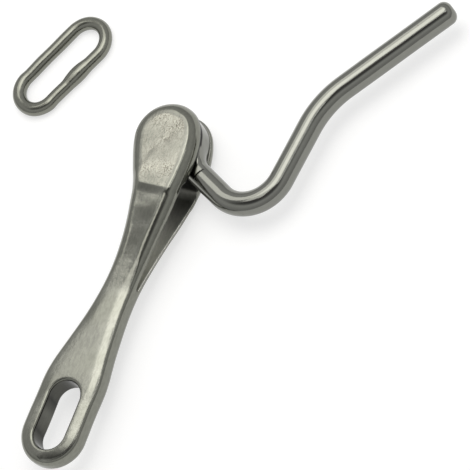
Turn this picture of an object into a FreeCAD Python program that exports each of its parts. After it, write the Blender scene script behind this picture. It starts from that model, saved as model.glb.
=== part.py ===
import FreeCAD, Part
import math
import os
import Sketcher
from FreeCAD import Placement, Rotation, Vector

# Pelican hook: a forked body with a long eye, a bent tongue that turns on a pin between the body's
# cheeks, and the oblong link that holds the closed tongue to the body. The body lies on one cheek,
# with its eye towards -Y, the pin's axis upright at X = Y = 0 and the lower pad at Z = 0.

SIZES = [
    ("head_half_thickness", 11.0, "from the middle plane to a cheek's flat pad"),
    ("head_radius", 14.7, "round end of the head, seen along the pin"),
    ("head_centre_x", -0.65, "centre of that round end"),
    ("head_centre_y", 0.4, "centre of that round end"),
    ("body_half_thickness", 4.9, "waist and eye end"),
    ("head_edge_radius", 5.4, "rounding of the head's outer edges"),
    ("body_edge_radius", 4.4, "rounding of the other outer edges"),
    ("pad_foot_y", -20.5, "where the flat pad ends and the neck starts to slope"),
    ("pad_foot_radius", 8.0, "rounding of that bend"),
    ("slope_foot_y", -64.0, "where the neck's slope reaches the waist"),
    ("slope_foot_radius", 90.0, "rounding of that bend"),
    ("cheek_y", -19.0, "first station of the body's outline"),
    ("cheek_left", -8.3, "edge of the body there"),
    ("cheek_right", 15.6, "edge of the body there"),
    ("neck_y", -41.0, "second station"),
    ("neck_left", -3.6, ""),
    ("neck_right", 12.9, ""),
    ("waist_y", -63.0, "third station"),
    ("waist_left", -3.9, ""),
    ("waist_right", 10.3, ""),
    ("flare_y", -88.0, "fourth station"),
    ("flare_left", -9.0, ""),
    ("flare_right", 10.9, ""),
    ("eye_end_y", -128.3, "centre of the round end"),
    ("eye_end_radius", 13.7, ""),
    ("eye_side_length", 18.0, "nearly straight sides beside the eye"),
    ("slot_width", 14.0, "the long eye"),
    ("slot_length", 29.2, ""),
    ("slot_centre_x", 0.3, ""),
    ("slot_centre_y", -121.4, ""),
    ("slot_edge_radius", 1.3, ""),
    ("fork_gap", 9.4, "between the cheeks"),
    ("cheek_foot_y", -16.0, "where the cheeks' thicker part ends on the inside"),
    ("leg_gap", 13.4, "between the legs just below the cheeks"),
    ("leg_gap_y", -18.0, "where the legs' inner faces start to close"),
    ("fork_root_y", -63.5, "bottom of the fork"),
    ("fork_root_half_width", 0.8, ""),
    ("fork_bend_radius", 2.0, "rounding where the legs' inner faces start to close"),
    ("fork_edge_radius", 0.7, "rounding of the cheeks' inner edges"),
    ("pin_diameter", 8.0, ""),
    ("pin_running_clearance", 0.05, "all round, between pin and tongue"),
    ("tongue_side_clearance", 0.1, "between the tongue's eye and each cheek"),
    ("rod_diameter", 10.0, "the tongue's round bar"),
    ("tongue_eye_radius", 13.8, ""),
    ("tongue_eye_edge", 1.2, ""),
    ("shoulder_radius", 21.4, "the bar is thinned inside this distance from the pin"),
    ("root_x", 9.1, "where the bar's axis starts, inside the eye"),
    ("root_y", -6.1, ""),
    ("root_angle", -27.3, "degrees from +X"),
    ("root_length", 23.6, ""),
    ("bight_radius", 15.9, "the tongue's first bend, on the bar's axis"),
    ("bight_turn", 110.3, "degrees"),
    ("middle_length", 23.7, ""),
    ("knee_radius", 39.6, "the tongue's second bend"),
    ("knee_turn", 31.4, "degrees, the other way"),
    ("tip_length", 52.9, ""),
    ("tip_edge_radius", 3.6, ""),
    ("link_wire_diameter", 5.7, ""),
    ("link_length", 51.4, "outside"),
    ("link_width", 23.6, "outside"),
    ("link_x", -72.9, ""),
    ("link_y", 26.9, ""),
    ("link_angle", 62.7, "degrees from +X"),
    ("weld_offset", 2.0, "from the link's middle, along it"),
    ("weld_inward", 0.7, "its middle lies this far inside the wire's axis"),
    ("weld_half_length", 6.5, ""),
    ("weld_half_width", 3.1, ""),
    ("weld_height_share", 0.96, "of the wire's own height, so that it shows on the inside only"),
]

doc = FreeCAD.newDocument("pelican_hook")
sheet = doc.addObject("Spreadsheet::Sheet", "sizes")
for row, (name, value, note) in enumerate(SIZES, start=1):
    sheet.set("A%d" % row, name)
    sheet.set("B%d" % row, str(value))
    sheet.set("C%d" % row, note)
    sheet.setAlias("B%d" % row, name)
doc.recompute()


def size(name):
    return float(sheet.get(name))


def bind(thing, path, formula):
    thing.setExpression(path, formula)


def prism(wire, direction):
    return Part.Face(wire).extrude(direction)


def flank(start, start_way, stations, end, end_way):
    """One side of the body's outline: a smooth curve from one round end to the other."""
    points = [start] + stations + [end]
    curve = Part.BSplineCurve()
    curve.interpolate(Points=points, InitialTangent=start_way, FinalTangent=end_way)
    return curve.toShape()


def around(centre, radius, degrees):
    angle = math.radians(degrees)
    return centre + Vector(radius * math.cos(angle), radius * math.sin(angle), 0)


def arc_between(centre, radius, first, last):
    """Arc anticlockwise from one angle to the other."""
    middle = around(centre, radius, (first + last) / 2)
    return Part.Arc(around(centre, radius, first), middle, around(centre, radius, last)).toShape()


# The body's outline, seen along the pin. The left flank is hollow, because the closed tongue lies there.
HEAD_ARC_START = 25.0
HEAD_ARC_END = 192.0


def body_outline():
    head = Vector(size("head_centre_x"), size("head_centre_y"), 0)
    head_radius = size("head_radius")
    eye = Vector(0, size("eye_end_y"), 0)
    eye_radius = size("eye_end_radius")
    side = Vector(0, size("eye_side_length"), 0)
    left = []
    right = []
    for station in ("cheek", "neck", "waist", "flare"):
        height = size(station + "_y")
        left.append(Vector(size(station + "_left"), height, 0))
        right.append(Vector(size(station + "_right"), height, 0))
    head_left = around(head, head_radius, HEAD_ARC_END)
    head_right = around(head, head_radius, HEAD_ARC_START)
    left_way = Vector(-math.sin(math.radians(HEAD_ARC_END)), math.cos(math.radians(HEAD_ARC_END)), 0)
    right_way = Vector(-math.sin(math.radians(HEAD_ARC_START)), math.cos(math.radians(HEAD_ARC_START)), 0)
    eye_left = eye + Vector(-eye_radius, 0, 0)
    eye_right = eye + Vector(eye_radius, 0, 0)
    edges = [
        arc_between(head, head_radius, HEAD_ARC_START, HEAD_ARC_END),
        flank(head_left, left_way, left, eye_left + side, Vector(0, -1, 0)),
        Part.makeLine(eye_left + side, eye_left),
        arc_between(eye, eye_radius, 180, 360),
        Part.makeLine(eye_right, eye_right + side),
        flank(eye_right + side, Vector(0, 1, 0), right[::-1], head_right, right_way),
    ]
    return Part.Wire(Part.sortEdges(edges)[0])


def softened(points, radii):
    """Closed wire in the YZ plane: straight runs, each corner with its own tangent arc (0 keeps it sharp)."""
    count = len(points)
    trims = []
    for i, (corner, radius) in enumerate(zip(points, radii)):
        before = (points[i - 1] - corner).normalize()
        after = (points[(i + 1) % count] - corner).normalize()
        half = before.getAngle(after) / 2
        reach = radius / math.tan(half)
        bisector = (before + after).normalize()
        middle = corner + bisector * (radius / math.sin(half) - radius)
        trims.append((corner + before * reach, middle, corner + after * reach))
    edges = []
    for i, (first, middle, last) in enumerate(trims):
        if radii[i] > 0:
            edges.append(Part.Arc(first, middle, last).toShape())
        edges.append(Part.makeLine(last, trims[(i + 1) % count][0]))
    return Part.Wire(edges)


def body_side():
    """The body seen across the pin: thick at the pads, sloping in to the waist, even to the eye."""
    head_top = size("head_centre_y") + size("head_radius") + 5
    eye_bottom = size("eye_end_y") - size("eye_end_radius") - 5
    head = size("head_half_thickness")
    body = size("body_half_thickness")
    upper = [(head_top, head), (size("pad_foot_y"), head), (size("slope_foot_y"), body), (eye_bottom, body)]
    lower = [(y, -z) for y, z in upper[::-1]]
    points = [Vector(0, y, z) for y, z in upper + lower]
    bends = [0, size("pad_foot_radius"), size("slope_foot_radius"), 0]
    return softened(points, bends + bends[::-1])


def fork_side():
    """The gap across the pin: even between the cheeks, stepped wider at their feet, then a deep V."""
    head_top = size("head_centre_y") + size("head_radius") + 6
    half = size("fork_gap") / 2
    leg_half = size("leg_gap") / 2
    root = size("fork_root_half_width")
    upper = [
        (head_top, half),
        (size("cheek_foot_y"), half),
        (size("leg_gap_y"), leg_half),
        (size("fork_root_y"), root),
    ]
    lower = [(y, -z) for y, z in upper[::-1]]
    points = [Vector(0, y, z) for y, z in upper + lower]
    bend = size("fork_bend_radius")
    soft_root = 0.9 * root
    bends = [0, 0, bend, soft_root]
    return softened(points, bends + bends[::-1])


def slot_prism(depth):
    half_width = size("slot_width") / 2
    half_run = size("slot_length") / 2 - half_width
    middle = Vector(size("slot_centre_x"), size("slot_centre_y"), -depth)
    top = middle + Vector(0, half_run, 0)
    bottom = middle - Vector(0, half_run, 0)
    side = Vector(half_width, 0, 0)
    wire = Part.Wire([
        arc_between(top, half_width, 0, 180),
        Part.makeLine(top - side, bottom - side),
        arc_between(bottom, half_width, 180, 360),
        Part.makeLine(bottom + side, top + side),
    ])
    return prism(wire, Vector(0, 0, 2 * depth))


def is_outline(edge):
    """True for the body's outline edges, and not for its upright edges or the bends' lines across it."""
    box = edge.BoundBox
    straight_across = box.YLength < 1e-6 and box.XLength > 1
    upright = box.ZLength > size("body_half_thickness") and box.YLength < 1e-6
    off_middle = abs(box.Center.z) > 0.9 * size("body_half_thickness")
    return off_middle and not straight_across and not upright


def edge_radius_at(y):
    """The outer rounding shrinks evenly from the pad's foot to the waist."""
    foot = size("pad_foot_y")
    share = min(1.0, max(0.0, (foot - y) / (foot - size("slope_foot_y"))))
    return size("head_edge_radius") + share * (size("body_edge_radius") - size("head_edge_radius"))


def body_blank():
    """The outline's prism and the side view's prism, where they meet."""
    head = size("head_half_thickness")
    outline = body_outline()
    outline.translate(Vector(0, 0, -head))
    plan = prism(outline, Vector(0, 0, 2 * head))
    side = prism(body_side(), Vector(2 * ACROSS, 0, 0))
    side.translate(Vector(-ACROSS, 0, 0))
    return plan.common(side).Solids[0]


def on_cheek(edge):
    """True for the level edges of the cheeks' inner faces."""
    box = edge.BoundBox
    level = size("fork_gap") / 2
    return box.ZLength < 1e-3 and box.YLength > 1e-3 and abs(abs(box.Center.z) - level) < 1e-3


def with_fork(rounded):
    gap = prism(fork_side(), Vector(2 * ACROSS, 0, 0))
    gap.translate(Vector(-ACROSS, 0, 0))
    forked = rounded.cut(gap)
    cheek_edges = [edge for edge in forked.Edges if on_cheek(edge)]
    return forked.makeFillet(size("fork_edge_radius"), cheek_edges)


def with_long_eye(body):
    pierced = body.cut(slot_prism(size("body_half_thickness") + 1))
    middle_x = size("slot_centre_x")
    middle_y = size("slot_centre_y")
    half_width = size("slot_width") / 2 + 0.01
    half_length = size("slot_length") / 2 + 0.01
    rims = []
    for edge in pierced.Edges:
        box = edge.BoundBox
        within_x = box.XMin > middle_x - half_width and box.XMax < middle_x + half_width
        within_y = box.YMin > middle_y - half_length and box.YMax < middle_y + half_length
        if within_x and within_y and box.ZLength < 1e-6:
            rims.append(edge)
    return pierced.makeFillet(size("slot_edge_radius"), rims)


# The body: a casting, rounded all over, then forked, bored and pierced by its long eye.
ACROSS = 60.0
blank = doc.addObject("Part::Feature", "body_blank")
blank.Shape = body_blank()
rounded = doc.addObject("Part::Fillet", "body_rounded")
rounded.Base = blank
roundings = []
for index, edge in enumerate(blank.Shape.Edges, start=1):
    if is_outline(edge):
        first = edge_radius_at(edge.valueAt(edge.FirstParameter).y)
        last = edge_radius_at(edge.valueAt(edge.LastParameter).y)
        roundings.append((index, first, last))
rounded.Edges = roundings
doc.recompute()

lift = size("head_half_thickness")
yoke = doc.addObject("Part::Feature", "yoke")
yoke.Label = "yoke"
bore = Part.makeCylinder(size("pin_diameter") / 2, 2 * lift + 2, Vector(0, 0, -lift - 1))
yoke.Shape = with_long_eye(with_fork(rounded.Shape).cut(bore)).removeSplitter()
yoke.Placement = Placement(Vector(0, 0, lift), Rotation())

# The pin, its ends flush with the two pads.
pin = doc.addObject("Part::Cylinder", "pivot_pin")
pin.Label = "pivot_pin"
bind(pin, "Radius", "sizes.pin_diameter / 2")
bind(pin, "Height", "2 * sizes.head_half_thickness")


def plane_of(body, role):
    for item in body.Origin.OriginFeatures:
        if item.Role == role:
            return item
    raise ValueError(role)


def new_sketch(body, name, role, lift_formula=None):
    sketch = body.newObject("Sketcher::SketchObject", name)
    sketch.AttachmentSupport = (plane_of(body, role), "")
    sketch.MapMode = "FlatFace"
    if lift_formula:
        bind(sketch, "AttachmentOffset.Base.z", lift_formula)
    return sketch


def circle_sketch(body, name, role, radius_formula, lift_formula=None):
    sketch = new_sketch(body, name, role, lift_formula)
    radius = size("rod_diameter") / 2
    sketch.addGeometry(Part.Circle(Vector(0, 0, 0), Vector(0, 0, 1), radius), False)
    sketch.addConstraint(Sketcher.Constraint("Coincident", 0, 3, -1, 1))
    index = sketch.addConstraint(Sketcher.Constraint("Radius", 0, radius))
    sketch.renameConstraint(index, "radius")
    bind(sketch, "Constraints.radius", radius_formula)
    return sketch


def add_named(sketch, name, constraint, formula):
    index = sketch.addConstraint(constraint)
    sketch.renameConstraint(index, name)
    bind(sketch, "Constraints." + name, formula)


def round_section(body, name, path, alias):
    """A circle across the start of a path."""
    sketch = body.newObject("Sketcher::SketchObject", name)
    sketch.AttachmentSupport = (path, "Edge1")
    sketch.MapMode = "NormalToEdge"
    sketch.MapPathParameter = 0
    radius = size(alias) / 2
    sketch.addGeometry(Part.Circle(Vector(0, 0, 0), Vector(0, 0, 1), radius), False)
    sketch.addConstraint(Sketcher.Constraint("Coincident", 0, 3, -1, 1))
    add_named(sketch, "radius", Sketcher.Constraint("Radius", 0, radius), "sizes.%s / 2" % alias)
    return sketch


def tongue_path(body):
    """The bar's axis: root, bight, middle, knee and tip, each run tangent to the next."""
    sketch = new_sketch(body, "tongue_path", "XY_Plane")
    heading = math.radians(size("root_angle"))
    point = Vector(size("root_x"), size("root_y"), 0)
    runs = [
        ("root", size("root_length"), size("bight_radius"), math.radians(size("bight_turn"))),
        ("middle", size("middle_length"), size("knee_radius"), -math.radians(size("knee_turn"))),
        ("tip", size("tip_length"), 0, 0),
    ]
    for name, length, radius, turn in runs:
        ahead = Vector(math.cos(heading), math.sin(heading), 0)
        end = point + ahead * length
        line = sketch.addGeometry(Part.LineSegment(point, end), False)
        add_named(sketch, name + "_length", Sketcher.Constraint("Distance", line, length),
                  "sizes.%s_length" % name)
        if line > 0:
            joint = 2 if previous_turn > 0 else 1
            sketch.addConstraint(Sketcher.Constraint("Tangent", line - 1, joint, line, 1))
        if not radius:
            break
        sign = math.copysign(1, turn)
        left = Vector(-ahead.y, ahead.x, 0)
        centre = end + left * (sign * radius)
        start_angle = heading - sign * math.pi / 2
        stop_angle = start_angle + turn
        low, high = sorted((start_angle, stop_angle))
        circle = Part.Circle(centre, Vector(0, 0, 1), radius)
        arc = sketch.addGeometry(Part.ArcOfCircle(circle, low, high), False)
        near = 1 if turn > 0 else 2
        sketch.addConstraint(Sketcher.Constraint("Tangent", line, 2, arc, near))
        bend = "bight" if name == "root" else "knee"
        add_named(sketch, bend + "_radius", Sketcher.Constraint("Radius", arc, radius),
                  "sizes.%s_radius" % bend)
        heading += turn
        previous_turn = turn
        point = centre + Vector(math.cos(stop_angle), math.sin(stop_angle), 0) * radius
    add_named(sketch, "root_x", Sketcher.Constraint("DistanceX", -1, 1, 0, 1, size("root_x")), "sizes.root_x")
    add_named(sketch, "root_y", Sketcher.Constraint("DistanceY", -1, 1, 0, 1, size("root_y")), "sizes.root_y")
    root = math.radians(size("root_angle"))
    middle = root + math.radians(size("bight_turn"))
    tip = middle - math.radians(size("knee_turn"))
    add_named(sketch, "root_angle", Sketcher.Constraint("Angle", 0, root), "sizes.root_angle * 1deg")
    add_named(sketch, "middle_angle", Sketcher.Constraint("Angle", 2, middle),
              "(sizes.root_angle + sizes.bight_turn) * 1deg")
    add_named(sketch, "tip_angle", Sketcher.Constraint("Angle", 4, tip),
              "(sizes.root_angle + sizes.bight_turn - sizes.knee_turn) * 1deg")
    return sketch


# The tongue: its flat eye, the bent bar, and the bore for the pin.
hook = doc.addObject("PartDesign::Body", "hook")
hook.Label = "hook"
eye_face = circle_sketch(hook, "eye_face", "XY_Plane", "sizes.tongue_eye_radius")
doc.recompute()
eye_disc = hook.newObject("PartDesign::Pad", "eye_disc")
eye_disc.Profile = eye_face
eye_disc.Midplane = True
bind(eye_disc, "Length", "sizes.fork_gap - 2 * sizes.tongue_side_clearance")
doc.recompute()
rims = []
for index, edge in enumerate(eye_disc.Shape.Edges, start=1):
    if edge.BoundBox.ZLength < 1e-3:
        rims.append("Edge%d" % index)
eye_rim = hook.newObject("PartDesign::Fillet", "eye_rim")
eye_rim.Base = (eye_disc, rims)
bind(eye_rim, "Radius", "sizes.tongue_eye_edge")
doc.recompute()

path = tongue_path(hook)
doc.recompute()
section = round_section(hook, "bar_section", path, "rod_diameter")
doc.recompute()
bar = hook.newObject("PartDesign::AdditivePipe", "bar")
bar.Profile = section
bar.Spine = (path, ["Edge1", "Edge2", "Edge3", "Edge4", "Edge5"])
bar.Mode = "Standard"
doc.recompute()


def farthest_end(shape, centre):
    """The name of the round edge farthest from a point."""
    best = max(range(len(shape.Edges)), key=lambda i: shape.Edges[i].CenterOfMass.distanceToPoint(centre))
    return "Edge%d" % (best + 1)


tip_round = hook.newObject("PartDesign::Fillet", "tip_round")
tip_round.Base = (bar, [farthest_end(bar.Shape, Vector(0, 0, 0))])
bind(tip_round, "Radius", "sizes.tip_edge_radius")
doc.recompute()

# The bar is thicker than the fork's gap, so both its faces are set back near the eye.
thinning = []
for name, sign in (("upper", 1), ("lower", -1)):
    formula = "%d * (sizes.fork_gap / 2 - sizes.tongue_side_clearance)" % sign
    ring = circle_sketch(hook, name + "_shoulder", "XY_Plane", "sizes.shoulder_radius", formula)
    doc.recompute()
    cut = hook.newObject("PartDesign::Pocket", name + "_flat")
    cut.Profile = ring
    cut.Type = 0
    cut.Reversed = sign > 0
    bind(cut, "Length", "sizes.rod_diameter")
    doc.recompute()
    thinning.append(cut)

bore_radius = "sizes.pin_diameter / 2 + sizes.pin_running_clearance"
bore_face = circle_sketch(hook, "bore_face", "XY_Plane", bore_radius)
doc.recompute()
bore_cut = hook.newObject("PartDesign::Pocket", "pin_bore")
bore_cut.Profile = bore_face
bore_cut.Midplane = True
bore_cut.Type = 0
bind(bore_cut, "Length", "2 * sizes.rod_diameter")
doc.recompute()
hook.Placement = Placement(Vector(0, 0, lift), Rotation())
bind(hook, "Placement.Base.z", "sizes.head_half_thickness")


def link_path(body):
    """Half of the wire's axis: half a side, the end's half round, half the other side."""
    sketch = new_sketch(body, "link_path", "XY_Plane")
    radius = (size("link_width") - size("link_wire_diameter")) / 2
    run = (size("link_length") - size("link_width")) / 2
    sketch.addGeometry(Part.LineSegment(Vector(0, -radius, 0), Vector(run, -radius, 0)), False)
    end = Part.Circle(Vector(run, 0, 0), Vector(0, 0, 1), radius)
    sketch.addGeometry(Part.ArcOfCircle(end, -math.pi / 2, math.pi / 2), False)
    sketch.addGeometry(Part.LineSegment(Vector(run, radius, 0), Vector(0, radius, 0)), False)
    sketch.addConstraint(Sketcher.Constraint("Tangent", 0, 2, 1, 1))
    sketch.addConstraint(Sketcher.Constraint("Tangent", 1, 2, 2, 1))
    sketch.addConstraint(Sketcher.Constraint("Horizontal", 0))
    sketch.addConstraint(Sketcher.Constraint("Symmetric", 0, 1, 2, 2, -1, 1))
    add_named(sketch, "radius", Sketcher.Constraint("Radius", 1, radius),
              "(sizes.link_width - sizes.link_wire_diameter) / 2")
    add_named(sketch, "run", Sketcher.Constraint("Distance", 0, run),
              "(sizes.link_length - sizes.link_width) / 2")
    return sketch


# The oblong link, butt welded near the middle of one side, lying where it was put down.
link = doc.addObject("PartDesign::Body", "link")
link.Label = "link"
oval = link_path(link)
doc.recompute()
wire_section = round_section(link, "wire_section", oval, "link_wire_diameter")
doc.recompute()
half_loop = link.newObject("PartDesign::AdditivePipe", "half_loop")
half_loop.Profile = wire_section
half_loop.Spine = (oval, ["Edge1", "Edge2", "Edge3"])
half_loop.Mode = "Standard"
doc.recompute()
loop = link.newObject("PartDesign::Mirrored", "loop")
loop.Originals = [half_loop]
loop.MirrorPlane = (plane_of(link, "YZ_Plane"), [""])
link.Tip = loop
doc.recompute()
weld = link.newObject("PartDesign::AdditiveEllipsoid", "weld")
weld.AttachmentSupport = (plane_of(link, "XY_Plane"), "")
weld.MapMode = "FlatFace"
bind(weld, "Radius1", "sizes.weld_height_share * sizes.link_wire_diameter / 2")
bind(weld, "Radius2", "sizes.weld_half_length")
bind(weld, "Radius3", "sizes.weld_half_width")
bind(weld, "AttachmentOffset.Base.x", "sizes.weld_offset")
bind(weld, "AttachmentOffset.Base.y", "sizes.weld_inward - (sizes.link_width - sizes.link_wire_diameter) / 2")
doc.recompute()
turn = Rotation(Vector(0, 0, 1), size("link_angle"))
link.Placement = Placement(Vector(size("link_x"), size("link_y"), 0), turn)
bind(link, "Placement.Base.x", "sizes.link_x")
bind(link, "Placement.Base.y", "sizes.link_y")
bind(link, "Placement.Base.z", "sizes.link_wire_diameter / 2")

doc.recompute()
parts = [yoke, hook, pin, link]
for item in doc.Objects:
    if "Invalid" in item.State or "Error" in item.State:
        raise RuntimeError("%s failed: %s" % (item.Label, item.State))
for item in parts:
    if item.Shape.isNull() or not item.Shape.isValid() or len(item.Shape.Solids) != 1:
        raise RuntimeError("%s is not one valid solid" % item.Label)

os.makedirs("parts", exist_ok=True)
for item in parts:
    item.Shape.exportStep("parts/%s.step" % item.Label)
    box = item.Shape.BoundBox
    print("%-10s volume %8.1f  x %7.2f %7.2f  y %7.2f %7.2f  z %6.2f %6.2f" % (
        item.Label, item.Shape.Volume, box.XMin, box.XMax, box.YMin, box.YMax, box.ZMin, box.ZMax))
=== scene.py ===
import math
import bpy
import numpy as np
from mathutils import Matrix, Vector


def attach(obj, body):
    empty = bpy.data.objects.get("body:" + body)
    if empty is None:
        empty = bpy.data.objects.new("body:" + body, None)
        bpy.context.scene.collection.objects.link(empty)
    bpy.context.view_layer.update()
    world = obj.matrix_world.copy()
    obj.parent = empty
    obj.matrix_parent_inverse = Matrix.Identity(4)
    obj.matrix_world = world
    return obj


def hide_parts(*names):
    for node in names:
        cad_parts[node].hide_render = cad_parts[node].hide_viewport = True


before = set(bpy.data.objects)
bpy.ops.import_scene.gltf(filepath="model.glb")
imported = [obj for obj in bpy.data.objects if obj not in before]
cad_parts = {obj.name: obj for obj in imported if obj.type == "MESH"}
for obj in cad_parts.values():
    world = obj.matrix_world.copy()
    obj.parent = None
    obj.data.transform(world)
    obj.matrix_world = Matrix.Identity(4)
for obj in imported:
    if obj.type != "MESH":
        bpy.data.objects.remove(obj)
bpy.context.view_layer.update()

# The pelican hook's surfaces. Each is the zero level of a field in millimetres, negative inside.
# x and y are the part's own. z is measured from the pin's middle plane, LIFT above the floor.
LIFT = 11.0
MM = 0.001
TINY = 1e-9
FAR = 1e9

# The forked body. STATIONS gives y and the x of both flanks.
HEAD = {"x": -0.65, "y": 0.4, "radius": 14.7, "arc": (25.0, 192.0), "half": 11.0, "edge": 6.0}
BODY = {"half": 4.9, "edge": 4.0, "pad_foot": -21.8, "slope_foot": -66.0, "ease": 1.25,
        "pad_bend": 0.06, "face_edge": 0.25}
STATIONS = [(-19.0, -8.7, 15.6), (-41.0, -4.0, 12.9), (-63.0, -4.1, 10.5), (-88.0, -9.2, 11.4)]
EYE_END = {"y": -128.3, "radius": 13.7, "side": 18.0}
SLOT = {"x": 0.3, "y": -121.4, "width": 14.0, "length": 29.2, "edge": 1.3}
FORK = {"half": 4.7, "foot": -16.0, "leg_half": 6.7, "leg": -18.0, "root": -63.5, "root_half": 0.8}
FORK_EDGES = {"cheek": 0.9, "leg": 0.8, "passage": 5.0, "step": 0.4, "bend": 1.5, "root": 0.7}

# Relief of its ground faces: the pads' crown and turned-up corner, the neck's hollow, and the
# fall from a crest to the edges of waist and eye end.
CROWN = {"left": 0.08, "right": 0.45, "fade": 3.0}
PAD_EDGE = {"left": 5.9, "right": 4.4}
PAD_RIGHT = {"x": 0.9, "y": -0.3, "from": -1.0, "width": 6.0}
PAD_CORNER = {"rise": 5.0, "x": -1.0, "width": 7.0, "low": -32.0, "fade": 10.0}
NECK_HOLLOW = {"depth": 0.30, "from_edge": 3.2, "width": 2.6, "top_fade": 4.0, "low_fade": 14.0}
CREST = {"inset": 7.0, "width": 3.0, "left": 0.07, "right": 0.20, "top": -44.0, "fade": 14.0,
         "x": 3.0, "low": -110.0, "run": 40.0, "from": -1.0, "passage": 3.0}

PIN = {"radius": 3.98, "below_pad": 0.5, "edge": 1.0}

# The tongue: its eye, and its bar as runs of straight length, bend radius and turn in degrees.
ROD = 5.0
TONGUE = {"eye": 13.8, "half": 4.6, "rim": 1.0, "shoulder": 21.4, "bore": 4.05, "tip_edge": 3.6,
          "flare": 3.5, "flare_change": 2.5, "rough_from": 22.0, "rough_fade": 10.0}
ROOT = {"x": 9.1, "y": -6.1, "heading": -27.3}
RUNS = [(23.6, 15.9, 110.3), (23.7, 39.6, -31.4), (52.9, 0.0, 0.0)]

# The link, from the angle of its long sides to how much slimmer its wire is than its axis allows.
LINK = {"x": -72.9, "y": 26.9, "angle": 62.7, "length": 51.9, "width": 24.1, "wire": 2.85,
        "slimmer": 0.05}
LINK_END = {"thicker": 0.15, "pinch": 0.13, "reach": 2.0, "fade": 8.0}
WELD = {"offset": 2.0, "inward": 0.7, "along": 6.5, "across": 3.1, "blend": 1.6}

# Unevenness: wavelength, height and the seed of the waves' directions.
CAST_WAVES = (22.0, 0.06, 3)
CAST_RIPPLES = (7.0, 0.010, 4)
BAR_WAVES = (30.0, 0.02, 8)
WIRE_WAVES = (14.0, 0.05, 11)
WAVE_COUNT = 7
WAVE_SPREAD = (0.7, 1.4)
WAVE_PHASE = 6.28

# How many points the outline's stretches get.
ARC_POINTS = 120
SPLINE_POINTS = 40
SIDE_POINTS = 12

# Two corners of the box that holds each surface, and the step of its grid.
BODY_GRID = ((-16.5, -143.0, -11.2), (16.5, 15.5, 11.2), 0.4)
PIN_GRID = ((-4.0, -4.0, -10.6), (4.0, 4.0, 10.6), 0.3)
TONGUE_GRID = ((-14.0, -25.0, -5.2), (100.0, 83.0, 5.2), 0.31)
LINK_GRID = ((-92.0, 2.0, -11.5), (-54.0, 52.0, -5.0), 0.22)
SETTLING_STEPS = 4
LEAST_SLOPE = 0.2


def meet(a, b, radius):
    """Where both fields are inside, the edge between them rounded."""
    u = a + radius
    v = b + radius
    return np.minimum(np.maximum(u, v), 0) + np.hypot(np.maximum(u, 0), np.maximum(v, 0)) - radius


def join(a, b, radius):
    """Where either field is inside, the corner between them filled."""
    return -meet(-a, -b, radius)


def clamped_spline(points, first_way, last_way, count):
    """A cubic spline through points with given end directions, count points to a stretch."""
    points = np.array(points, float)
    chords = np.linalg.norm(np.diff(points, axis=0), axis=1)
    total = len(points)
    system = np.zeros((total, total))
    right = np.zeros((total, 2))
    system[0, 0] = system[-1, -1] = 1
    right[0] = first_way
    right[-1] = last_way
    for i in range(1, total - 1):
        before, after = chords[i - 1], chords[i]
        system[i, i - 1:i + 2] = (after, 2 * (before + after), before)
        slope_before = (points[i] - points[i - 1]) / before
        slope_after = (points[i + 1] - points[i]) / after
        right[i] = 3 * (after * slope_before + before * slope_after)
    ways = np.linalg.solve(system, right)
    pieces = []
    for i in range(total - 1):
        t = np.linspace(0, 1, count, endpoint=False)[:, None]
        h = chords[i]
        pieces.append((2 * t**3 - 3 * t**2 + 1) * points[i] + (t**3 - 2 * t**2 + t) * h * ways[i]
                      + (3 * t**2 - 2 * t**3) * points[i + 1] + (t**3 - t**2) * h * ways[i + 1])
    return np.concatenate(pieces)


def arc(centre, radius, first, last, count):
    """Points on an arc, from its first to its last angle in degrees, the last left out."""
    angle = np.radians(np.linspace(first, last, count, endpoint=False))
    return np.c_[centre[0] + radius * np.cos(angle), centre[1] + radius * np.sin(angle)]


def on_head(degrees):
    """The head's outline at an angle: the point and the way onwards."""
    angle = math.radians(degrees)
    ray = (math.cos(angle), math.sin(angle))
    point = (HEAD["x"] + HEAD["radius"] * ray[0], HEAD["y"] + HEAD["radius"] * ray[1])
    return point, (-ray[1], ray[0])


def body_outline():
    """The body seen along the pin: round head, hollow flanks, round eye end."""
    start, end = HEAD["arc"]
    right_point, right_way = on_head(start)
    left_point, left_way = on_head(end)
    radius, low = EYE_END["radius"], EYE_END["y"]
    side_top = low + EYE_END["side"]
    left = [left_point] + [(left_x, y) for y, left_x, _ in STATIONS] + [(-radius, side_top)]
    right = [(radius, side_top)] + [(right_x, y) for y, _, right_x in STATIONS[::-1]] + [right_point]
    straight = np.linspace(side_top, low, SIDE_POINTS, endpoint=False)
    return np.concatenate([
        arc((HEAD["x"], HEAD["y"]), HEAD["radius"], start, end, ARC_POINTS),
        clamped_spline(left, left_way, (0, -1), SPLINE_POINTS),
        np.c_[np.full(SIDE_POINTS, -radius), straight],
        arc((0, low), radius, 180, 360, ARC_POINTS),
        np.c_[np.full(SIDE_POINTS, radius), low + side_top - straight],
        clamped_spline(right, (0, 1), right_way, SPLINE_POINTS),
    ])


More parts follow.
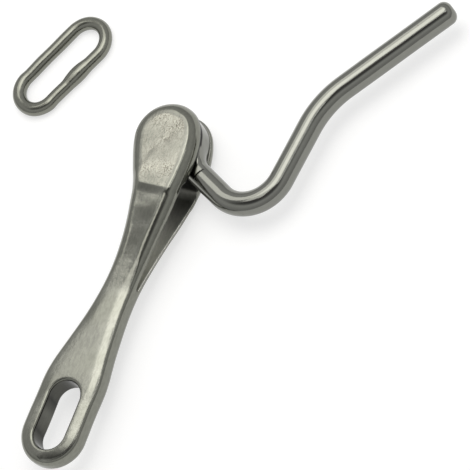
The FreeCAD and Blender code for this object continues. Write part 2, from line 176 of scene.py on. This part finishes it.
class PlanField:
    """Signed distance to a closed outline, kept on a grid and read between its points smoothly."""

    def __init__(self, outline, step=0.4, margin=4.0):
        self.low = outline.min(0) - margin
        self.step = step
        shape = np.ceil((outline.max(0) + margin - self.low) / step).astype(int) + 1
        x = self.low[0] + step * np.arange(shape[0])
        y = self.low[1] + step * np.arange(shape[1])
        after = np.roll(outline, -1, axis=0)
        along = after - outline
        length2 = (along**2).sum(1)
        self.values = np.empty(shape)
        for i, column in enumerate(x):
            from_x = column - outline[:, 0]
            from_y = y[:, None] - outline[:, 1]
            t = np.clip((from_x * along[:, 0] + from_y * along[:, 1]) / length2, 0, 1)
            distance = np.hypot(from_x - t * along[:, 0], from_y - t * along[:, 1]).min(1)
            crosses = (outline[:, 1] > y[:, None]) != (after[:, 1] > y[:, None])
            with np.errstate(divide="ignore", invalid="ignore"):
                meet_x = outline[:, 0] + from_y * along[:, 0] / along[:, 1]
            inside = (crosses & (meet_x > column)).sum(1) % 2 == 1
            self.values[i] = np.where(inside, -distance, distance)

    def __call__(self, x, y):
        x, y = np.broadcast_arrays(x, y)
        gx = np.clip((x - self.low[0]) / self.step, 1, self.values.shape[0] - 2.001)
        gy = np.clip((y - self.low[1]) / self.step, 1, self.values.shape[1] - 2.001)
        ix = gx.astype(int)
        iy = gy.astype(int)
        wx = self.weights(gx - ix)
        wy = self.weights(gy - iy)
        total = 0
        for i in range(4):
            for j in range(4):
                total = total + wx[i] * wy[j] * self.values[ix + i - 1, iy + j - 1]
        return total

    @staticmethod
    def weights(t):
        """Shares of four neighbours in a smooth curve through the middle two."""
        return (-0.5 * t + t**2 - 0.5 * t**3, 1 - 2.5 * t**2 + 1.5 * t**3,
                0.5 * t + 2 * t**2 - 1.5 * t**3, -0.5 * t**2 + 0.5 * t**3)


def smooth(t):
    """0 up to t = 0, 1 from t = 1, and a soft passage between."""
    t = np.clip(t, 0, 1)
    return t * t * (3 - 2 * t)


def waves(x, y, z, wavelength, height, seed):
    """Gentle unevenness: a few plane waves in fixed directions."""
    draw = np.random.default_rng(seed)
    total = 0
    for _ in range(WAVE_COUNT):
        way = draw.normal(size=3)
        way = way / np.linalg.norm(way) * (2 * math.pi / wavelength) * draw.uniform(*WAVE_SPREAD)
        total = total + np.sin(way[0] * x + way[1] * y + way[2] * z + draw.uniform(0, WAVE_PHASE))
    return height * total / math.sqrt(WAVE_COUNT)


plan = PlanField(body_outline())


def body_half(x, y):
    """Half thickness. The pad's foot turns up at its left corner, and the slope eases to the waist."""
    turned = smooth((PAD_CORNER["x"] - x) / PAD_CORNER["width"])
    turned = turned * smooth((y - PAD_CORNER["low"]) / PAD_CORNER["fade"])
    y = y - PAD_CORNER["rise"] * turned
    run = BODY["pad_foot"] - BODY["slope_foot"]
    share = np.maximum((y - BODY["slope_foot"]) / run, 0)
    slope = BODY["half"] + (HEAD["half"] - BODY["half"]) * share ** BODY["ease"]
    bend = BODY["pad_bend"]
    return (HEAD["half"] + slope) / 2 - np.hypot((HEAD["half"] - slope) / 2, bend) + bend


def edge_rounding(y):
    """The outer edge's rounding, which narrows from the pad to the waist."""
    share = np.clip((BODY["pad_foot"] - y) / (BODY["pad_foot"] - BODY["slope_foot"]), 0, 1)
    return HEAD["edge"] + share * (BODY["edge"] - HEAD["edge"])


def side_value(sizes, right):
    """Passes from a size's left value to its right one as right goes from 0 to 1."""
    return sizes["left"] + (sizes["right"] - sizes["left"]) * right


def pad_right(x, y):
    """0 on the pad's left and upper side, 1 on its right side."""
    across = PAD_RIGHT["x"] * x + PAD_RIGHT["y"] * y
    return smooth((across - PAD_RIGHT["from"]) / PAD_RIGHT["width"])


def face_relief(x, y, outline):
    """How far the ground faces lie below even, in the neck's hollow and beside the crest."""
    across = smooth((-outline - NECK_HOLLOW["from_edge"]) / NECK_HOLLOW["width"])
    along = smooth((BODY["pad_foot"] - y) / NECK_HOLLOW["top_fade"])
    along = along * smooth((y - BODY["slope_foot"]) / NECK_HOLLOW["low_fade"])
    hollow = NECK_HOLLOW["depth"] * across * along
    middle = CREST["x"] * smooth((y - CREST["low"]) / CREST["run"])
    steepest = side_value(CREST, smooth((x - middle - CREST["from"]) / CREST["passage"]))
    fall = steepest * np.maximum(0, outline + CREST["inset"]) ** 2 / (2 * CREST["width"])
    return hollow + fall * smooth((CREST["top"] - y) / CREST["fade"])


def fork_gap(y, z):
    """The gap across the pin: even between the cheeks, stepped wider at their feet, then a deep V."""
    slope = (FORK["leg_half"] - FORK["root_half"]) / (FORK["leg"] - FORK["root"])
    legs = np.abs(z) - FORK["leg_half"] - slope * (y - FORK["leg"])
    foot = (y + np.abs(z) - FORK["foot"] - FORK["half"]) / math.sqrt(2)
    above = join(np.abs(z) - FORK["half"], foot, FORK_EDGES["step"])
    return meet(meet(legs, above, FORK_EDGES["bend"]), FORK["root"] - y, FORK_EDGES["root"])


def slot_distance(x, y):
    """Distance to the long eye's wall, negative in the opening."""
    half_width = SLOT["width"] / 2
    half_run = SLOT["length"] / 2 - half_width
    return np.hypot(x - SLOT["x"], np.maximum(np.abs(y - SLOT["y"]) - half_run, 0)) - half_width


def yoke_field(x, y, z):
    """The body: rounded outline and faces, forked, and pierced by its long eye."""
    outline = plan(x, y)
    slab = np.abs(z) - body_half(x, y)
    crown = side_value(CROWN, pad_right(x, y))
    crown = crown * smooth((y - BODY["pad_foot"] + CROWN["fade"]) / CROWN["fade"])
    solid = meet(outline, slab - crown, edge_rounding(y))
    solid = meet(solid, slab + face_relief(x, y, outline), BODY["face_edge"])
    leg_share = np.clip((FORK["foot"] - y) / FORK_EDGES["passage"], 0, 1)
    edge = FORK_EDGES["cheek"] + leg_share * (FORK_EDGES["leg"] - FORK_EDGES["cheek"])
    solid = meet(solid, -fork_gap(y, z), edge)
    solid = meet(solid, -slot_distance(x, y), SLOT["edge"])
    return solid + waves(x, y, z, *CAST_WAVES) + waves(x, y, z, *CAST_RIPPLES)


def pin_field(x, y, z):
    """The pin, which ends below the pads, where it was polished over."""
    return meet(np.hypot(x, y) - PIN["radius"], np.abs(z) - HEAD["half"] + PIN["below_pad"], PIN["edge"])


def tongue_runs():
    """The bar's axis, a list of lines and arcs, each with the distance travelled before it."""
    point = np.array([ROOT["x"], ROOT["y"]])
    heading = math.radians(ROOT["heading"])
    runs = []
    travelled = 0.0
    for length, radius, turn in RUNS:
        ahead = np.array([math.cos(heading), math.sin(heading)])
        runs.append(("line", point, ahead, length, travelled))
        point = point + ahead * length
        travelled += length
        if not radius:
            break
        sign = math.copysign(1, turn)
        centre = point + np.array([-ahead[1], ahead[0]]) * sign * radius
        first = heading - sign * math.pi / 2
        runs.append(("arc", centre, radius, first, math.radians(turn), travelled))
        heading += math.radians(turn)
        last = first + math.radians(turn)
        point = centre + radius * np.array([math.cos(last), math.sin(last)])
        travelled += radius * abs(math.radians(turn))
    return runs


AXIS = tongue_runs()


def along_tongue(x, y):
    """Sideways distance to the bar's axis, to its left, and distance travelled along it."""
    best = np.full(np.broadcast(x, y).shape, FAR)
    side = best.copy()
    travel = np.zeros(best.shape)
    for index, run in enumerate(AXIS):
        if run[0] == "line":
            _, start, ahead, length, offset = run
            forward = (x - start[0]) * ahead[0] + (y - start[1]) * ahead[1]
            left = -(x - start[0]) * ahead[1] + (y - start[1]) * ahead[0]
            last = index == len(AXIS) - 1
            held = np.clip(forward, 0, FAR if last else length)
            distance = np.hypot(left, forward - held)
            s = offset + held
        else:
            _, centre, radius, first, turn, offset = run
            sign = math.copysign(1, turn)
            angle = np.arctan2(y - centre[1], x - centre[0])
            swept = np.mod((angle - first) * sign + math.pi, 2 * math.pi) - math.pi
            rho = np.hypot(x - centre[0], y - centre[1])
            left = sign * (radius - rho)
            outside = (swept < 0) | (swept > abs(turn))
            distance = np.where(outside, FAR, np.abs(left))
            s = offset + radius * swept
        closer = distance < best
        best = np.where(closer, distance, best)
        side = np.where(closer, left, side)
        travel = np.where(closer, s, travel)
    return best, side, travel


LAST_RUN = AXIS[-1]
TONGUE_LENGTH = LAST_RUN[4] + LAST_RUN[3]


def hook_field(x, y, z):
    """The tongue: a round bar that flares into its flat eye."""
    distance, side, travel = along_tongue(x, y)
    rod = np.hypot(distance, z) - ROD
    rod = meet(rod, travel - TONGUE_LENGTH, TONGUE["tip_edge"])
    from_pin = np.hypot(x, y)
    flare = TONGUE["flare"] + TONGUE["flare_change"] * np.clip(side / ROD, -1, 1)
    solid = join(rod, from_pin - TONGUE["eye"], flare)
    beside_fork = np.maximum(from_pin - TONGUE["shoulder"], TONGUE["half"] - np.abs(z))
    solid = meet(solid, -beside_fork, TONGUE["rim"])
    solid = np.maximum(solid, TONGUE["bore"] - from_pin)
    rough = np.clip((from_pin - TONGUE["rough_from"]) / TONGUE["rough_fade"], 0, 1)
    return solid + waves(x, y, z, *BAR_WAVES) * rough


def link_field(x, y, z):
    """The link: a wire loop, a little pinched and thickened at one end, with its weld."""
    angle = math.radians(LINK["angle"])
    along = (x - LINK["x"]) * math.cos(angle) + (y - LINK["y"]) * math.sin(angle)
    across = -(x - LINK["x"]) * math.sin(angle) + (y - LINK["y"]) * math.cos(angle)
    up = z + LIFT - LINK["wire"]
    run = (LINK["length"] - LINK["width"]) / 2
    reach = LINK_END["reach"]
    past = np.maximum(np.abs(along) - run, 0)
    pinched = smooth((run + along + reach) / (2 * reach))
    pinched = pinched * smooth((reach - along - run / 2) / LINK_END["fade"])
    radius = LINK["width"] / 2 - LINK["wire"] - LINK_END["pinch"] * pinched
    from_axis = np.hypot(past, across) - radius
    thicker = LINK_END["thicker"] * smooth((-along - run + reach) / (2 * reach))
    tube = np.hypot(from_axis, up) - LINK["wire"] - thicker + LINK["slimmer"]
    tube = tube + waves(along, across, up, *WIRE_WAVES)
    from_weld = (along - WELD["offset"], across + radius - WELD["inward"], up)
    return join(tube, ellipsoid(from_weld, (WELD["along"], WELD["across"], LINK["wire"])), WELD["blend"])


def ellipsoid(offset, half_axes):
    """Nearly the distance to an ellipsoid, given the offset from its middle."""
    scaled = [o / h for o, h in zip(offset, half_axes)]
    level = np.sqrt(scaled[0] ** 2 + scaled[1] ** 2 + scaled[2] ** 2) + TINY
    slopes = [s / h for s, h in zip(scaled, half_axes)]
    slope = np.sqrt(slopes[0] ** 2 + slopes[1] ** 2 + slopes[2] ** 2) + TINY
    return level * (level - 1) / slope


def surface(field, low, high, step):
    """Quads round a field's zero level, with every corner moved onto that level."""
    axes = [np.arange(a - 2 * step, b + 3 * step, step) for a, b in zip(low, high)]
    values = field(axes[0][:, None, None], axes[1][None, :, None], axes[2][None, None, :])
    shape = np.array(values.shape)
    inside = values < 0
    cell_shape = shape - 1
    # Each cell that the surface crosses gets one corner, in the middle of its crossings, and each
    # grid edge that it crosses gets a quad between the four cells round it.
    total = np.zeros(tuple(cell_shape) + (3,))
    hits = np.zeros(tuple(cell_shape))
    quads = []
    flips = []
    number = np.arange(cell_shape.prod()).reshape(cell_shape)
    for axis in range(3):
        others = [a for a in range(3) if a != axis]
        first = [slice(None)] * 3
        second = [slice(None)] * 3
        first[axis] = slice(0, -1)
        second[axis] = slice(1, None)
        a, b = values[tuple(first)], values[tuple(second)]
        crossing = inside[tuple(first)] != inside[tuple(second)]
        where = np.argwhere(crossing)
        start, stop = a[crossing], b[crossing]
        point = where.astype(float)
        point[:, axis] += start / (start - stop)
        corners = []
        for d0 in (1, 0):
            for d1 in (1, 0):
                cell = where.copy()
                cell[:, others[0]] -= d0
                cell[:, others[1]] -= d1
                index = tuple(cell.T)
                np.add.at(total, index, point)
                np.add.at(hits, index, 1)
                corners.append(number[index])
        quads.append(np.c_[corners[0], corners[1], corners[3], corners[2]])
        flips.append((start < 0) == (axis != 1))
    quads = np.concatenate(quads)
    flips = np.concatenate(flips)
    quads[~flips] = quads[~flips][:, ::-1]
    used = np.unique(quads)
    renumber = np.zeros(number.size, int)
    renumber[used] = np.arange(len(used))
    points = (total.reshape(-1, 3)[used] / hits.reshape(-1)[used][:, None])
    origin = np.array([axis[0] for axis in axes])
    points = origin + points * step
    quads = renumber[quads]
    for _ in range(SETTLING_STEPS):
        level, slope = level_and_slope(field, points)
        points = points - level[:, None] * slope / np.maximum((slope**2).sum(1), LEAST_SLOPE)[:, None]
    return points, quads


def level_and_slope(field, points, reach=0.02):
    """A field's value and gradient at some points."""
    x, y, z = points.T
    slope = np.c_[
        field(x + reach, y, z) - field(x - reach, y, z),
        field(x, y + reach, z) - field(x, y - reach, z),
        field(x, y, z + reach) - field(x, y, z - reach),
    ] / (2 * reach)
    return field(x, y, z), slope


def make_piece(name, field, grid, body, node, material):
    """A piece with a field's surface, which stands for a CAD node. Also gives its points in mm."""
    points, quads = surface(field, *grid)
    placed = (points + np.array([0, 0, LIFT])) * MM
    mesh = bpy.data.meshes.new(name)
    mesh.from_pydata(placed.tolist(), [], quads.tolist())
    mesh.validate()
    mesh.shade_smooth()
    piece = bpy.data.objects.new(name, mesh)
    bpy.context.scene.collection.objects.link(piece)
    mesh.materials.append(material)
    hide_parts(node)
    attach(piece, body)
    return piece, points


def grey(value):
    return (value, value, value, 1)


class Shader:
    """Short names for making a material's nodes."""

    def __init__(self, name, world=None):
        self.owner = world or bpy.data.materials.new(name)
        self.owner.use_nodes = True
        self.tree = self.owner.node_tree
        self.tree.nodes.clear()

    def node(self, kind, values=None, inputs=None, **settings):
        node = self.tree.nodes.new(kind)
        for key, value in settings.items():
            setattr(node, key, value)
        for key, value in (values or {}).items():
            node.inputs[key].default_value = value
        for key, source in (inputs or {}).items():
            self.tree.links.new(source, node.inputs[key])
        return node

    def noise(self, where, scale, detail=4.0, rough=0.55, stretch=None):
        if stretch:
            where = self.node("ShaderNodeMapping", {"Scale": stretch}, {"Vector": where}).outputs[0]
        values = {"Scale": scale, "Detail": detail, "Roughness": rough}
        return self.node("ShaderNodeTexNoise", values, {"Vector": where}).outputs["Fac"]

    def grey_ramp(self, fac, stops):
        node = self.node("ShaderNodeValToRGB", inputs={"Fac": fac})
        elements = node.color_ramp.elements
        while len(elements) < len(stops):
            elements.new(0.5)
        for element, (at, value) in zip(elements, stops):
            element.position = at
            element.color = grey(value)
        return node.outputs["Color"]

    def math(self, operation, *terms):
        node = self.node("ShaderNodeMath", operation=operation)
        for socket, value in zip(node.inputs, terms):
            if isinstance(value, (int, float)):
                socket.default_value = value
            else:
                self.tree.links.new(value, socket)
        return node.outputs[0]

    def mix(self, fac, a, b, blend="MIX"):
        node = self.node("ShaderNodeMix", data_type="RGBA", blend_type=blend)
        for name, value in (("Factor", fac), ("A", a), ("B", b)):
            socket = node.inputs[name]
            if isinstance(value, (int, float, tuple)):
                socket.default_value = value
            else:
                self.tree.links.new(value, socket)
        return node.outputs["Result"]

    def bump(self, height, distance, below=None):
        node = self.node("ShaderNodeBump", {"Distance": distance, "Strength": 1.0}, {"Height": height})
        if below is not None:
            self.tree.links.new(below, node.inputs["Normal"])
        return node.outputs[0]

    def channels(self, attribute_name):
        """The red, green and blue of a mesh attribute."""
        values = self.node("ShaderNodeAttribute", attribute_name=attribute_name).outputs["Color"]
        return self.node("ShaderNodeSeparateColor", inputs={"Color": values}).outputs

    def metal(self, colour, roughness, normal):
        made = self.node("ShaderNodeBsdfPrincipled", {"Metallic": 1.0},
                         {"Base Color": colour, "Roughness": roughness, "Normal": normal})
        self.node("ShaderNodeOutputMaterial", inputs={"Surface": made.outputs[0]})
        return self.owner


CAST_STEEL = (0.225, 0.228, 0.196, 1)
SATIN_STEEL = (0.280, 0.282, 0.248, 1)
BAR_STEEL = (0.225, 0.228, 0.205, 1)
# Ground pads: their steel brightened with a painted sheen, which stands in for the lamp's reflection on
# these up-facing faces.
GROUND_STEEL_AND_SHEEN = (0.410, 0.404, 0.345, 1)
# Painted shade on the pads' rims, the bevel between pad and rounding, which faces darker surroundings.
PAD_RIM_SHADE = (0.240, 0.240, 0.210, 1)
# Painted light and shade inside the fork: a lit tone low in the fork, and painted shade under the near
# cheek and towards the fork's top.
FORK_LIT = (0.62, 0.62, 0.57, 1)
FORK_SHADE = (0.02, 0.02, 0.018, 1)
# Painted shade in the long eye's wall, a recess that sees only shadowed floor.
EYE_WALL_SHADE = (0.045, 0.045, 0.041, 1)
# Painted shade in the recess under the near cheek, where the tongue's eye enters the fork.
GAP_SHADE = (0.020, 0.020, 0.018, 1)
STAIN = (0.11, 0.085, 0.06, 1)
DULL = grey(0.80)
POLISHED_EDGE = grey(0.13)
GROUND_PAD = grey(0.17)
AS_CAST = grey(0.42)
ALONG_BODY = (1.0, 0.06, 1.0)
ALONG_BAR = (0.05, 1.0, 1.0)
PITS = {"scale": 2300.0, "level": 0.39, "in_clusters": 0.10, "steepness": 14.0, "deepest": 0.75}


def cast_material():
    """Ground pads with fine pits and a painted sheen, satin faces, polished edges, the fork's inside rough
    as cast with painted light and shade, and painted shade on the pads' rims and in the long eye's wall.
    """
    s = Shader("cast_body")
    where = s.node("ShaderNodeTexCoord").outputs["Object"]
    pad, inner, edge = s.channels("zones")
    eye_wall_shade, rim, fork_lit_share = s.channels("walls")
    mottle = s.noise(where, 420.0, 5.0, 0.65)
    fine = s.noise(where, 2600.0, 3.0, 0.6)
    scratches = s.noise(where, 900.0, 3.0, 0.6, ALONG_BODY)
    grain = s.noise(where, 1100.0, 3.0, 0.6, (1.0, 0.35, 1.0))
    clusters = s.grey_ramp(s.noise(where, 130.0, 2.0), [(0.40, 0.0), (0.62, 1.0)])
    pit_level = s.math("MULTIPLY_ADD", clusters, PITS["in_clusters"], PITS["level"])
    below_level = s.math("SUBTRACT", pit_level, s.noise(where, PITS["scale"], 3.0, 0.6))
    depth = s.math("MAXIMUM", s.math("MULTIPLY", below_level, PITS["steepness"]), 0.0)
    pitted = s.math("MULTIPLY", s.math("MINIMUM", depth, PITS["deepest"]), pad)
    colour = s.mix(edge, SATIN_STEEL, CAST_STEEL)
    # Painted sheen: the up-facing pads are brightened in colour.
    colour = s.mix(pad, colour, GROUND_STEEL_AND_SHEEN)
    # Painted shade on the pads' rims.
    colour = s.mix(rim, colour, PAD_RIM_SHADE)
    # Painted light and shade inside the fork: lit low down, shaded under the near cheek and towards the
    # top.
    colour = s.mix(inner, colour, s.mix(fork_lit_share, FORK_SHADE, FORK_LIT))
    # Painted shade in the long eye's wall.
    colour = s.mix(eye_wall_shade, colour, EYE_WALL_SHADE)
    colour = s.mix(s.grey_ramp(grain, [(0.35, 0.6), (0.60, 0.0)]), colour, DULL, "MULTIPLY")
    colour = s.mix(pitted, colour, STAIN)
    satin = s.grey_ramp(mottle, [(0.3, 0.20), (0.7, 0.27)])
    roughness = s.mix(edge, satin, POLISHED_EDGE)
    roughness = s.mix(pad, roughness, GROUND_PAD)
    roughness = s.mix(inner, roughness, AS_CAST)
    flat = s.math("SUBTRACT", 1.0, edge)
    normal = s.bump(s.math("MULTIPLY", mottle, flat), 0.00007)
    normal = s.bump(s.math("MULTIPLY", grain, flat), 0.00003, below=normal)
    normal = s.bump(scratches, 0.000006, below=normal)
    normal = s.bump(fine, 0.000004, below=normal)
    normal = s.bump(s.math("SUBTRACT", 1.0, pitted), 0.00005, below=normal)
    return s.metal(colour, roughness, normal)


def bar_material():
    """The tongue's polished bar, with marks along it and painted shade where it enters the fork."""
    s = Shader("tongue_bar")
    where = s.node("ShaderNodeTexCoord").outputs["Object"]
    lengthwise = s.node("ShaderNodeAttribute", attribute_name="bar").outputs["Vector"]
    mottle = s.noise(where, 350.0, 4.0, 0.6)
    streak = s.noise(lengthwise, 0.9, 4.0, 0.6, ALONG_BAR)
    fine = s.noise(lengthwise, 4.0, 3.0, 0.6, ALONG_BAR)
    specks = s.grey_ramp(s.noise(where, 900.0, 2.0, 0.5), [(0.21, 1.0), (0.25, 0.0)])
    colour = s.mix(s.grey_ramp(mottle, [(0.3, 0.3), (0.7, 0.0)]), BAR_STEEL, DULL, "MULTIPLY")
    colour = s.mix(specks, colour, STAIN)
    # Painted shade where the bar's eye enters the fork.
    groove = s.node("ShaderNodeAttribute", attribute_name="groove").outputs["Fac"]
    colour = s.mix(groove, colour, GAP_SHADE)
    roughness = s.grey_ramp(streak, [(0.3, 0.08), (0.7, 0.15)])
    normal = s.bump(streak, 0.00002)
    normal = s.bump(fine, 0.000004, below=normal)
    return s.metal(colour, roughness, normal)


def wire_material(name):
    """Tumbled steel with small dents."""
    s = Shader(name)
    where = s.node("ShaderNodeTexCoord").outputs["Object"]
    mottle = s.noise(where, 500.0, 5.0, 0.65)
    dents = s.noise(where, 180.0, 2.0)
    colour = s.mix(s.grey_ramp(mottle, [(0.3, 0.5), (0.7, 0.0)]), CAST_STEEL, DULL, "MULTIPLY")
    roughness = s.grey_ramp(mottle, [(0.3, 0.14), (0.7, 0.26)])
    normal = s.bump(dents, 0.00010)
    normal = s.bump(mottle, 0.00002, below=normal)
    return s.metal(colour, roughness, normal)


# How far the zones of the materials reach from their surfaces, and how they fade, in millimetres.
ZONES = {"face": 0.12, "fork": 0.3, "upper_cheek": 1.2, "fade": 0.25, "pad": 0.8, "pad_foot": 0.3}
# How far down the fork its painted light grows from the shaded top.
FORK_LIGHT = {"high": 0.35, "y": -20.0, "run": 20.0}
# Where the tongue's eye gets its painted shade under the near cheek.
GROOVE = {"z": 2.7, "fade": 0.5, "past_eye": 0.6, "edge": 0.4}


def body_zones(piece, points):
    """Marks the ground pads for their painted sheen, their rims and the eye's wall for painted shade, the
    fork's inside for painted light and shade, and the rounded edges.
    """
    x, y, z = points.T
    outline = plan(x, y)
    slab = np.abs(z) - body_half(x, y)
    on_top = np.clip(1 - np.abs(slab + face_relief(x, y, outline)) / ZONES["face"], 0, 1)
    cheeks = smooth(y - FORK["foot"] + 1)
    # On the near cheek the inside reaches over its rounded lower edge, so that edge gets the painted shade
    # too.
    reach = ZONES["fork"] + ZONES["upper_cheek"] * cheeks * (z > 0)
    inner = np.clip((reach - np.abs(fork_gap(y, z))) / ZONES["fade"], 0, 1)
    edge = (1 - on_top) * (1 - inner)
    head = smooth((y - BODY["pad_foot"]) / (2 * ZONES["pad_foot"]) + 0.5) * on_top
    inset = side_value(PAD_EDGE, pad_right(x, y))
    ground = np.clip(-(outline + inset) / ZONES["pad"], 0, 1)
    # Where the long eye's wall gets its painted shade.
    wall = np.clip(1 - np.abs(slot_distance(x, y)) / ZONES["fade"], 0, 1)
    keep_colours(piece, "zones", head * ground, inner, edge)
    # Painted light inside the fork: none under the near cheek, and growing downwards from the top, where
    # cheeks and tongue shade it.
    low = FORK_LIGHT["high"] + (1 - FORK_LIGHT["high"]) * smooth((FORK_LIGHT["y"] - y) / FORK_LIGHT["run"])
    fork_light = np.where((cheeks > 0.5) & (z > 0), 0.0, low)
    # The second channel marks the pads' rims for their painted shade.
    keep_colours(piece, "walls", wall, head * (1 - ground), fork_light)


def keep_colours(piece, name, *channels):
    """Stores three values at each point, for the material to read."""
    attribute = piece.data.attributes.new(name, "FLOAT_COLOR", "POINT")
    values = np.column_stack(channels + (np.ones(len(channels[0])),))
    attribute.data.foreach_set("color", values.astype(np.float32).ravel())


def bar_coordinates(piece, points):
    """Place along and round the bar, for marks that run lengthwise, and the painted shade where its eye
    enters the fork.
    """
    x, y, z = points.T
    _, side, travel = along_tongue(x, y)
    attribute = piece.data.attributes.new("bar", "FLOAT_VECTOR", "POINT")
    values = np.c_[travel, side, z]
    attribute.data.foreach_set("vector", values.astype(np.float32).ravel())
    # Painted shade on the eye's near face and rim, which lie under the near cheek inside the fork.
    past_eye = np.hypot(x, y) - TONGUE["eye"] - GROOVE["past_eye"]
    groove = smooth((z - GROOVE["z"]) / GROOVE["fade"]) * smooth(-past_eye / GROOVE["edge"])
    attribute = piece.data.attributes.new("groove", "FLOAT", "POINT")
    attribute.data.foreach_set("value", groove.astype(np.float32))


forked_body, body_points = make_piece("forked_body", yoke_field, BODY_GRID, "body", "yoke",
                                      cast_material())
body_zones(forked_body, body_points)
make_piece("pin", pin_field, PIN_GRID, "body", "pivot_pin", wire_material("pin_steel"))
tongue, tongue_points = make_piece("tongue", hook_field, TONGUE_GRID, "tongue", "hook",
                                   bar_material())
bar_coordinates(tongue, tongue_points)
make_piece("retaining_link", link_field, LINK_GRID, "body", "link",
           wire_material("link_wire"))

# Where the photograph was taken from: 55 degrees above the floor, turned 45 degrees about its view.
# HEADING and ahead lead along the floor from the part to the camera, and left is to their left.
TILT = math.radians(35.0)
HEADING = math.radians(-27.294)
LOOK_AT = Vector((42.739, -31.598, LIFT)) * MM
DISTANCE = 1.2
PICTURE_SIDE = 470
PIXEL = 0.394 * MM
SENSOR = 36.0
ahead = Vector((math.cos(HEADING), math.sin(HEADING), 0))
left = Vector((-math.sin(HEADING), math.cos(HEADING), 0))
up = Vector((0, 0, 1))
back = math.sin(TILT) * ahead + math.cos(TILT) * up
down_hill = math.cos(TILT) * ahead - math.sin(TILT) * up
image_right = (down_hill + left).normalized()
image_up = (left - down_hill).normalized()
camera_data = bpy.data.cameras.new("camera")
camera = bpy.data.objects.new("camera", camera_data)
bpy.context.scene.collection.objects.link(camera)
place = Matrix((image_right, image_up, back)).transposed().to_4x4()
place.translation = LOOK_AT + back * DISTANCE
camera.matrix_world = place
camera_data.sensor_width = SENSOR
camera_data.lens = SENSOR * DISTANCE / (PICTURE_SIDE * PIXEL)
camera_data.clip_start = 0.05
camera_data.clip_end = 20.0
bpy.context.scene.camera = camera


WARM = (1.0, 0.985, 0.95)
WHITE = (1.0, 1.0, 1.0)


def soft_lamp(name, place, size, turn, brightness, colour):
    """A level soft lamp. Its place is how far its middle lies ahead, left and up, in millimetres."""
    data = bpy.data.lights.new(name, "AREA")
    data.shape = "RECTANGLE"
    data.size, data.size_y = size[0] * MM, size[1] * MM
    data.energy = brightness * math.pi * data.size * data.size_y
    data.color = colour
    light = bpy.data.objects.new(name, data)
    light.location = (place[0] * ahead + place[1] * left + place[2] * up) * MM
    light.rotation_euler = (0, 0, HEADING + math.radians(turn))
    bpy.context.scene.collection.objects.link(light)


FLOOR_REACH = 3.0
FLOOR_GREY = grey(0.5)
FLOOR_GLOW = 0.60


def floor_material():
    """White to the camera, in the steel and behind glass, and still with the object's shadow."""
    s = Shader("floor")
    path = s.node("ShaderNodeLightPath")
    seen = s.math("MAXIMUM", path.outputs["Is Camera Ray"], path.outputs["Is Glossy Ray"])
    seen = s.math("MAXIMUM", seen, path.outputs["Is Transmission Ray"])
    strength = s.math("MULTIPLY", seen, FLOOR_GLOW)
    diffuse = s.node("ShaderNodeBsdfDiffuse", {"Color": FLOOR_GREY})
    glow = s.node("ShaderNodeEmission", {"Color": grey(1.0)}, {"Strength": strength})
    both = s.node("ShaderNodeAddShader")
    s.tree.links.new(diffuse.outputs[0], both.inputs[0])
    s.tree.links.new(glow.outputs[0], both.inputs[1])
    s.node("ShaderNodeOutputMaterial", inputs={"Surface": both.outputs[0]})
    return s.owner


floor_mesh = bpy.data.meshes.new("floor")
low, high = -FLOOR_REACH, FLOOR_REACH
floor_mesh.from_pydata([(low, low, 0), (high, low, 0), (high, high, 0), (low, high, 0)], [], [(0, 1, 2, 3)])
floor_mesh.materials.append(floor_material())
floor = bpy.data.objects.new("floor", floor_mesh)
bpy.context.scene.collection.objects.link(floor)

# The room round the part: greys by height, and darker on the side where the camera stands.
BRIGHT_SIDE = [(0.0, 0.52), (0.26, 0.60), (0.5, 0.72), (0.72, 0.65), (0.87, 0.5), (1.0, 0.5)]
DARK_SIDE = [(0.0, 0.48), (0.26, 0.52), (0.5, 0.66), (0.64, 0.74), (0.72, 0.62), (0.79, 0.30),
             (0.87, 0.12), (0.94, 0.14), (0.985, 0.4), (1.0, 0.5)]
PASSAGE = {"From Min": -0.1, "From Max": 0.25}


def room_world():
    """The greys above as a world."""
    world = bpy.data.worlds.new("studio")
    s = Shader("studio", world)
    direction = s.node("ShaderNodeTexCoord").outputs["Generated"]
    height = s.node("ShaderNodeSeparateXYZ", inputs={"Vector": direction}).outputs["Z"]
    dark_way = (ahead - left).normalized()
    dot = s.node("ShaderNodeVectorMath", {1: dark_way}, {0: direction}, operation="DOT_PRODUCT")
    dark = s.node("ShaderNodeMapRange", PASSAGE, {"Value": dot.outputs["Value"]}).outputs[0]
    sky = s.mix(dark, s.grey_ramp(height, BRIGHT_SIDE), s.grey_ramp(height, DARK_SIDE))
    background = s.node("ShaderNodeBackground", {"Strength": 1.0}, {"Color": sky})
    s.node("ShaderNodeOutputWorld", inputs={"Surface": background.outputs[0]})
    return world


bpy.context.scene.world = room_world()

soft_lamp("overhead", (-200, 170, 600), (660, 500), 25, 1.45, WARM)
soft_lamp("strip", (215, 270, 600), (45, 300), 10, 2.4, WHITE)
soft_lamp("zenith", (-40, 100, 620), (320, 560), 15, 1.25, WARM)

bpy.context.scene.view_settings.view_transform = "Standard"
